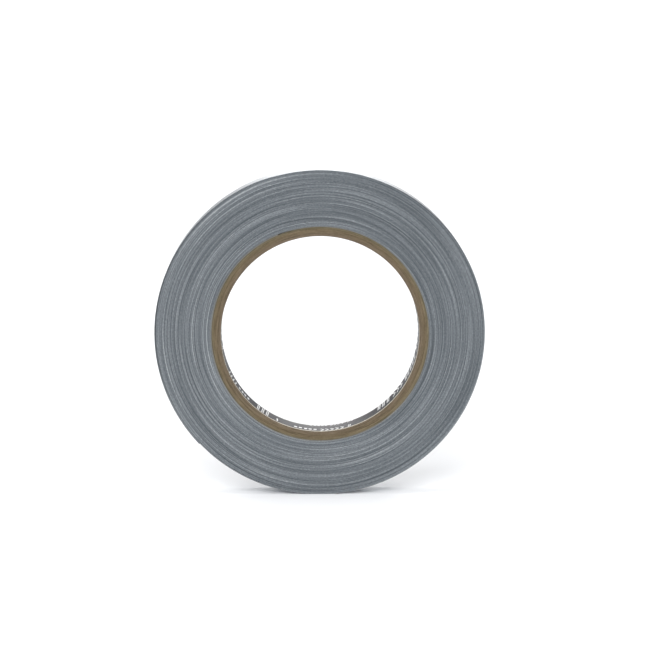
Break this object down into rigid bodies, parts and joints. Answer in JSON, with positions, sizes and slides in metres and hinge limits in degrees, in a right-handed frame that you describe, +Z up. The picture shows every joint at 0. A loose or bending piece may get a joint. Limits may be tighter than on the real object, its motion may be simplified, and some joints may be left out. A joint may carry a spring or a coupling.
{
  "type": "duct tape roll",
  "caption": "Narrow roll of silver cloth-backed duct tape wound on a brown spiral-wound paper core with a printed liner, standing on its rim, with a tail end that lifts off.",
  "frame": {"origin": "centre of the roll's width, on the surface it stands on, under its axis", "axes": "+Z up, Y along the roll's axis with the front face towards -Y, X across"},
  "size_m": [0.1269, 0.01, 0.1265],
  "materials": {
    "silver_film": "satin",
    "cotton_scrim": "matte",
    "rubber_adhesive": "satin",
    "wound_tape": "matte",
    "kraft_board": "matte",
    "printed_liner": "matte"
  },
  "bodies": {
    "roll": {"core_liner": "printed_liner", "core_ply_1": "kraft_board", "core_ply_2": "kraft_board", "core_ply_3": "kraft_board", "core_ply_4": "kraft_board", "core_ply_5": "kraft_board", "core_ply_6": "kraft_board", "core_outer_ply": "kraft_board", "tape_first_turn": "wound_tape", "tape_winding_1": "wound_tape", "tape_winding_2": "wound_tape", "tape_winding_3": "wound_tape", "tape_winding_4": "wound_tape", "tape_winding_5": "wound_tape", "last_turn_adhesive": "rubber_adhesive", "last_turn_scrim": "cotton_scrim", "last_turn_film": "silver_film"},
    "tail_1": {"tail_1_adhesive": "rubber_adhesive", "tail_1_scrim": "cotton_scrim", "tail_1_film": "silver_film"},
    "tail_2": {"tail_2_adhesive": "rubber_adhesive", "tail_2_scrim": "cotton_scrim", "tail_2_film": "silver_film"},
    "tail_3": {"tail_3_adhesive": "rubber_adhesive", "tail_3_scrim": "cotton_scrim", "tail_3_film": "silver_film"},
    "tail_4": {"tail_4_adhesive": "rubber_adhesive", "tail_4_scrim": "cotton_scrim", "tail_4_film": "silver_film"},
    "tail_5": {"tail_5_adhesive": "rubber_adhesive", "tail_5_scrim": "cotton_scrim", "tail_5_film": "silver_film"},
    "tail_6": {"tail_6_adhesive": "rubber_adhesive", "tail_6_scrim": "cotton_scrim", "tail_6_film": "silver_film"}
  },
  "joints": [
    {"name": "tail_lift_1", "type": "hinge", "parent": "roll", "child": "tail_1", "pos_m": [-0.06067, 0, 0.0824], "axis": [0, 1, 0], "range_deg": [0, 25]},
    {"name": "tail_lift_2", "type": "hinge", "parent": "tail_1", "child": "tail_2", "pos_m": [-0.06307, 0, 0.07157], "axis": [0, 1, 0], "range_deg": [0, 25]},
    {"name": "tail_lift_3", "type": "hinge", "parent": "tail_2", "child": "tail_3", "pos_m": [-0.06355, 0, 0.0605], "axis": [0, 1, 0], "range_deg": [0, 25]},
    {"name": "tail_lift_4", "type": "hinge", "parent": "tail_3", "child": "tail_4", "pos_m": [-0.0621, 0, 0.0495], "axis": [0, 1, 0], "range_deg": [0, 25]},
    {"name": "tail_lift_5", "type": "hinge", "parent": "tail_4", "child": "tail_5", "pos_m": [-0.05877, 0, 0.03893], "axis": [0, 1, 0], "range_deg": [0, 25]},
    {"name": "tail_lift_6", "type": "hinge", "parent": "tail_5", "child": "tail_6", "pos_m": [-0.05365, 0, 0.02909], "axis": [0, 1, 0], "range_deg": [0, 25]}
  ],
  "couplings": [
    {"joint": "tail_lift_2", "follows": "tail_lift_1", "ratio": 1},
    {"joint": "tail_lift_3", "follows": "tail_lift_1", "ratio": 1},
    {"joint": "tail_lift_4", "follows": "tail_lift_1", "ratio": 1},
    {"joint": "tail_lift_5", "follows": "tail_lift_1", "ratio": 1},
    {"joint": "tail_lift_6", "follows": "tail_lift_1", "ratio": 1}
  ]
}
